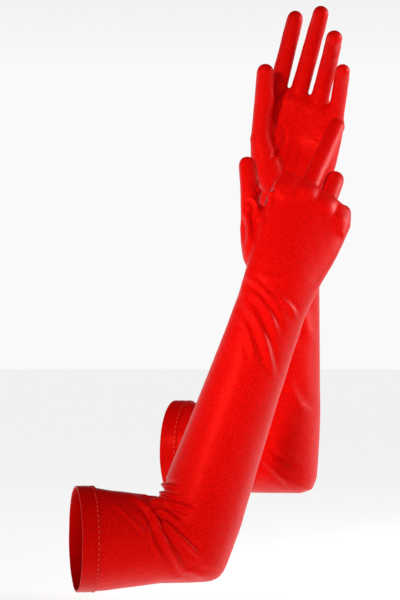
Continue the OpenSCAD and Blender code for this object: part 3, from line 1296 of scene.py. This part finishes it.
@dataclass(frozen=True)
class Finish:
    """A dyed satin or thread, by its colours and its gloss.

    A satin weave of about 0.1 mm is too fine to show, so its glitter is drawn as grains
    of `grain` metres, in two colours and a slight bump.
    """

    name: str
    light: str
    deep: str
    roughness: float = 0.43
    specular: float = 0.42
    tint: str = "#FF3022"
    sheen: float = 0.05
    grain: float = 0.9 * MM
    grain_depth: float = 0.09 * MM

    def material(self) -> bpy.types.Material:
        """Makes the finish.

        Returns:
            Its material.
        """
        made = bpy.data.materials.new(self.name)
        made.use_nodes = True
        tree = made.node_tree
        tree.nodes.clear()
        place = [(node(tree, "ShaderNodeTexCoord").outputs["Object"], "Vector")]
        cloud = node(
            tree, "ShaderNodeTexNoise", place, Scale=0.7 / self.grain, Detail=3.0, Roughness=0.6
        )
        fleck = node(tree, "ShaderNodeTexNoise", place, Scale=0.75 / self.grain, Detail=2.0)
        share = node(
            tree, "ShaderNodeMapRange", [(cloud.outputs["Fac"], "Value")], From_Min=0.36, From_Max=0.64
        )
        colour = node(
            tree, "ShaderNodeMix", [(share.outputs["Result"], "Factor")], set_data_type="RGBA"
        )
        for socket in colour.inputs:
            if socket.type == "RGBA":
                socket.default_value = srgb(self.deep if socket.name == "A" else self.light)
        mixed = next(o for o in colour.outputs if o.type == "RGBA")
        bump = node(
            tree,
            "ShaderNodeBump",
            [(fleck.outputs["Fac"], "Height")],
            Strength=0.55,
            Distance=self.grain_depth,
        )
        shader = node(
            tree,
            "ShaderNodeBsdfPrincipled",
            [(mixed, "Base Color"), (bump.outputs["Normal"], "Normal")],
            Roughness=self.roughness,
            Specular_IOR_Level=self.specular,
            Specular_Tint=srgb(self.tint),
            Sheen_Weight=self.sheen,
            Sheen_Roughness=0.35,
            Sheen_Tint=srgb(self.tint),
        )
        node(tree, "ShaderNodeOutputMaterial", [(shader.outputs["BSDF"], "Surface")])
        return made


# Woven stretch satin, piece-dyed: bright red with a broad, soft, red-tinted gloss
SATIN = Finish("red satin", "#E60B08", "#C40402")
# The same satin folded double: pulled flat by its stitches, so a little deeper and glossier
HEM_SATIN = Finish("hem satin", "#DA0604", "#BC0301", roughness=0.4)
# Spun polyester sewing thread: paler than the satin, and nearly matt
THREAD = Finish("red thread", "#F2544A", "#E84038", roughness=0.6, grain=0.5 * MM)


# ---------------------------------------------------------------- the pair


RIGHT_FOLDS = (
    # gathers in the crook of the elbow
    Fold(((56, 43), (66, 46), (86, 45)), 1.9, 2.2, Face.BOTH, hollow=0.8),
    Fold(((56, 38), (68, 40), (84, 37)), 1.8, 1.8, Face.BOTH, hollow=0.8),
    Fold(((55, 34), (74, 34), (98, 26)), 2.0, 2.2, Face.BOTH, hollow=0.8),
    Fold(((57, 29), (70, 27), (84, 16)), 1.8, 1.8, hollow=0.8),
    Fold(((58, 26), (64, 21), (72, 9)), 1.7, 1.2, hollow=0.8),
    # long folds that hang from the crook to the point of the elbow
    Fold(((46, 38), (54, 33), (61, 26), (66, 12), (73, -3), (90, -28)), 2.8, 2.8, hollow=0.9),
    Fold(((67, 21), (82, 6), (104, -16)), 2.3, 2.0, hollow=0.8),
    Fold(((50, 30), (56, 18), (60, 4), (68, -16)), 2.2, 1.0),
    Fold(((28, 34), (42, 20), (56, 6)), 1.9, 0.9),
    Fold(((90, -24), (104, -30), (114, -34)), 3.0, 0.8),
    # pulls across the inner wrist
    Fold(((146, 204), (156, 184), (164, 160), (168, 140)), 3.0, 1.7, hollow=0.8),
    Fold(((152, 214), (164, 196), (172, 176)), 2.8, 1.5, hollow=0.8),
    Fold(((150, 226), (162, 212), (172, 200)), 2.6, 1.2),
    Fold(((142, 192), (148, 172), (152, 152)), 2.6, 1.0),
    Fold(((146, 219), (162, 214), (184, 219)), 4.4, -1.3, hollow=0.3),
    Fold(((172, 208), (184, 200), (190, 190)), 2.6, 1.1),
    # folds from the thumb's web
    Fold(((52, 84), (45, 80), (38, 74), (36, 64)), 1.8, 1.9, Face.BACK, Plane.HAND, 0.9),
    Fold(((54, 70), (48, 68), (42, 60), (38, 46)), 2.0, 1.9, Face.BACK, Plane.HAND, 0.9),
    Fold(((54, 56), (48, 50), (42, 38), (38, 24)), 2.2, 1.5, Face.BACK, Plane.HAND, 0.9),
)

RIGHT_SWELLS = (
    # knuckles, and the dips between them
    Swell((30, 84), (8, 9), 2.4),
    Swell((10, 88), (8, 9), 2.6),
    Swell((-10, 85), (8, 9), 2.4),
    Swell((-28, 76), (7, 9), 2.2),
    Swell((20, 90), (3, 8), -1.4),
    Swell((0, 91), (3, 8), -1.4),
    Swell((-19, 84), (3, 8), -1.2),
    # the round of the hand's back
    Swell((5, 45), (22, 30), 1.2),
)

LEFT_FOLDS = (
    # folds of the elbow
    Fold(((100, 8), (114, -5), (128, -16)), 3.0, -1.4, Face.PALM),
    Fold(((92, 0), (108, -16), (120, -30)), 2.8, 1.0, Face.PALM),
    Fold(((44, 40), (64, 20), (84, -12)), 3.0, 1.1, Face.PALM),
    Fold(((66, 40), (84, 30), (104, 10)), 3.0, 1.2, Face.PALM),
    # folds of the forearm
    Fold(((118, 70), (124, 52), (134, 34)), 3.4, 0.9, Face.PALM),
    Fold(((124, 150), (132, 120), (138, 96)), 3.6, 0.9, Face.PALM),
    # creases of the palm
    Fold(((34, 74), (20, 70), (14, 58), (15, 44), (24, 30)), 2.2, -1.8, Face.PALM, Plane.HAND, 0.15),
    Fold(((30, 80), (12, 70), (-10, 62), (-26, 60)), 2.0, -1.0, Face.PALM, Plane.HAND, 0.15),
    Fold(((-30, 72), (-12, 74), (4, 84)), 2.0, -1.0, Face.PALM, Plane.HAND, 0.15),
    Fold(((8, 20), (2, 36), (0, 52)), 2.4, 0.9, Face.PALM, Plane.HAND),
    Fold(((20, 4), (0, 0), (-22, 4)), 2.6, -1.2, Face.PALM, Plane.HAND, 0.15),
)

LEFT_SWELLS = (
    # the hollow of the palm
    Swell((2, 56), (20, 21), -8.0, Face.PALM),
    # the pads under the fingers
    Swell((30, 88), (8, 7), 1.8, Face.PALM),
    Swell((10, 92), (8, 7), 1.8, Face.PALM),
    Swell((-10, 88), (8, 7), 1.8, Face.PALM),
    Swell((-28, 79), (7, 7), 1.6, Face.PALM),
    # the pad of the little finger's side
    Swell((-26, 42), (11, 24), 3.0, Face.PALM),
)

RIGHT = ArmPose(
    side=Side.RIGHT,
    turn=10,
    offset=(0, 0, 0),
    lean=20,
    hand=(27, 18, 7),
    fingers=((-2, 58, 62, 30), (-2, 14, 0, 4), (0, 22, 70, 35), (1, 43, 58, 30)),
    thumb=(36, 24, 2, 6, 5),
    folds=RIGHT_FOLDS,
    swells=RIGHT_SWELLS,
)

LEFT = ArmPose(
    side=Side.LEFT,
    turn=-17,
    offset=(83 * MM, 220 * MM, 66 * MM),
    lean=3,
    hand=(10, -3, 13),
    fingers=((-4, 5, 3, 4), (-6, 11, 13, 8), (-5, 20, 28, 12), (0, 42, 5, 6)),
    thumb=(24, 6, 8, 8, 8),
    folds=LEFT_FOLDS,
    swells=LEFT_SWELLS,
)


@dataclass
class Glove:
    """One finished glove."""

    pose: ArmPose
    joints: dict
    materials: dict
    # Distances to each side of a joint
    elbow_bend: float = 50 * MM
    wrist_bend_before: float = 24 * MM
    wrist_bend_after: float = 22 * MM
    digit_bend: tuple = (1.5 * MM, 17 * MM)

    def joint_at(self, name: str) -> np.ndarray:
        """Returns where a joint, named without its side, is in the row's frame."""
        return np.array(self.joints[self.pose.node(name)]["pos_m"])

    def hang(self, piece: bpy.types.Object, bodies: tuple) -> None:
        """Bakes a piece's transform into its mesh.

        Args:
            piece: the piece.
            bodies: the two bodies, named without their side; nothing uses them.
        """
        first, second = (self.pose.node(body) for body in bodies)
        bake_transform(piece)

    def finish(self, piece: bpy.types.Object, finish: str, nodes: tuple) -> None:
        """Dresses a piece.

        Args:
            piece: the piece.
            finish: the name of its material and slot.
            nodes: the CAD nodes that it stands for, named without their side.
        """
        piece.data.materials.clear()
        piece.data.materials.append(self.materials[finish])
        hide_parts(*(self.pose.node(n) for n in nodes))

    def dress_sleeve(self, arm: Arm, piece: bpy.types.Object) -> None:
        """Dresses the sleeve, from the hem past the elbow.

        Args:
            arm: the arm inside the glove; what is worked out from it is not used.
            piece: the sleeve.
        """
        elbow = self.joint_at("elbow")
        start = elbow - self.pose.turn_only(np.array((self.elbow_bend, 0, 0)))
        end = elbow + self.elbow_bend * self.pose.turn_only(arm.along)
        self.hang(piece, ("upper", "forearm"))
        self.finish(piece, "red_satin", ("upper_back_panel", "upper_palm_panel", "elbow_fabric"))

    def dress_hand(self, arm: Arm, piece: bpy.types.Object) -> None:
        """Dresses the rest of the forearm, the wrist and the hand.

        Args:
            arm: the arm inside the glove; what is worked out from it is not used.
            piece: the piece that covers them.
        """
        wrist = self.joint_at("wrist")
        start = wrist - self.wrist_bend_before * self.pose.turn_only(arm.along)
        end = wrist + self.wrist_bend_after * self.pose.turn_only(arm.v)
        self.hang(piece, ("forearm", "hand"))
        nodes = (
            "forearm_back_panel",
            "forearm_palm_panel",
            "wrist_fabric",
            "hand_back_panel",
            "hand_palm_panel",
            "knuckle_fabric",
            "thumb_root_fabric",
        )
        self.finish(piece, "red_satin", nodes)

    def dress_digit(self, tube: Tube, piece: bpy.types.Object) -> None:
        """Dresses a finger or the thumb.

        Args:
            tube: the finger's tube.
            piece: its cloth.
        """
        joint = self.joint_at("thumb_root" if tube.name == "thumb" else f"{tube.name}_knuckle")
        way = self.pose.turn_only(unit(tube.stations[5].centre - tube.stations[3].centre))
        self.hang(piece, ("hand", tube.name))
        self.finish(piece, "red_satin", (f"{tube.name}_back_panel", f"{tube.name}_palm_panel"))

    def build(self) -> list:
        """Returns:
            The pieces.
        """
        arm = Arm(self.pose, SleeveSizes(), HandSizes())
        skin = Skin(arm, ClothSizes())
        skin.make()
        pieces = skin.pieces()
        self.dress_sleeve(arm, pieces["sleeve"])
        self.dress_hand(arm, pieces["hand"])
        for tube in skin.tubes[1:6]:
            self.dress_digit(tube, pieces[tube.name])
        band, thread = Hem(arm).band(), Hem(arm).stitches()
        self.finish(band, "hem_satin", ("hem",))
        self.finish(thread, "red_thread", ("hem_stitching",))
        for piece in (band, thread):
            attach(piece, self.pose.node("upper"))
        return [*pieces.values(), band, thread]


@dataclass(frozen=True)
class Lamp:
    """A lamp: its place and size in metres, power in watts, target and a spot's cone in degrees."""

    name: str
    kind: LampKind
    place: tuple
    size: float
    power: float
    target: tuple
    cone: float = 21

    def add(self) -> None:
        """Adds the lamp to the scene."""
        bpy.ops.object.light_add(type=self.kind.value, location=self.place)
        lamp = bpy.context.object
        lamp.name = self.name
        if self.kind is LampKind.AREA:
            lamp.data.size = self.size
        else:
            lamp.data.shadow_soft_size = self.size
            lamp.data.spot_size = math.radians(self.cone)
            lamp.data.spot_blend = 1.0
        lamp.data.energy = self.power
        way = Vector(self.target) - Vector(self.place)
        lamp.rotation_euler = way.to_track_quat("-Z", "Y").to_euler()


@dataclass(frozen=True)
class Studio:
    """The floor, the lights and the camera. The key stands front left, the edge lamp right."""

    key: Lamp = Lamp("key", LampKind.SPOT, (-0.8, -1.5, 0.9), 0.1, 134, (0.17, 0.0, 0.24))
    edge: Lamp = Lamp("edge", LampKind.AREA, (1.3, 0.35, 0.6), 0.5, 10, (0.15, 0.1, 0.25))
    floor_at: tuple = (0, 2, -0.07)
    floor_size: float = 14
    camera_at: tuple = (0.107, -2.5, 0.2057)
    lens: float = 174.4
    sensor: float = 36

    def floor(self) -> None:
        """Lays a floor of pale paper, lit from within so that it stays nearly white."""
        deselect()
        bpy.ops.mesh.primitive_plane_add(size=self.floor_size, location=self.floor_at)
        floor = bpy.context.object
        floor.name = "floor"
        paper = bpy.data.materials.new("pale paper")
        paper.use_nodes = True
        inputs = paper.node_tree.nodes["Principled BSDF"].inputs
        inputs["Base Color"].default_value = srgb("#B8B8B8")
        inputs["Roughness"].default_value = 0.9
        inputs["Emission Color"].default_value = srgb("#FFFFFF")
        inputs["Emission Strength"].default_value = 0.82
        floor.data.materials.append(paper)

    def room(self) -> None:
        """Makes a room that is bright low down and dark above, so that the lamps model the folds."""
        world = bpy.data.worlds.new("room")
        world.use_nodes = True
        tree = world.node_tree
        sky = node(tree, "ShaderNodeTexCoord").outputs["Generated"]
        height = node(tree, "ShaderNodeSeparateXYZ", [(sky, "Vector")])
        glow = node(
            tree,
            "ShaderNodeMapRange",
            [(height.outputs["Z"], "Value")],
            From_Min=0.08,
            From_Max=0.4,
            To_Min=0.95,
            To_Max=0.02,
        )
        tree.nodes["Background"].inputs["Color"].default_value = srgb("#FFFFFF")
        tree.links.new(glow.outputs["Result"], tree.nodes["Background"].inputs["Strength"])
        bpy.context.scene.world = world

    def camera(self) -> None:
        """Adds the camera, level and well in front of the pair."""
        bpy.ops.object.camera_add(location=self.camera_at, rotation=(math.pi / 2, 0, 0))
        camera = bpy.context.object
        camera.data.sensor_width = self.sensor
        camera.data.lens = self.lens
        bpy.context.scene.camera = camera

    def build(self) -> None:
        """Makes the whole studio round the pair."""
        self.floor()
        self.room()
        self.key.add()
        self.edge.add()
        self.camera()
        bpy.context.scene.view_settings.view_transform = "Standard"


def main() -> None:
    """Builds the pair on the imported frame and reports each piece."""
    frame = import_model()
    joints = {j["name"]: j for j in frame["joints"]}
    materials = {
        "red_satin": SATIN.material(),
        "hem_satin": HEM_SATIN.material(),
        "red_thread": THREAD.material(),
    }
    for pose in (RIGHT, LEFT):
        for piece in Glove(pose, joints, materials).build():
            log.info("%s has %d faces", piece.name, len(piece.data.polygons))
    Studio().build()


if __name__ == "__main__":
    main()
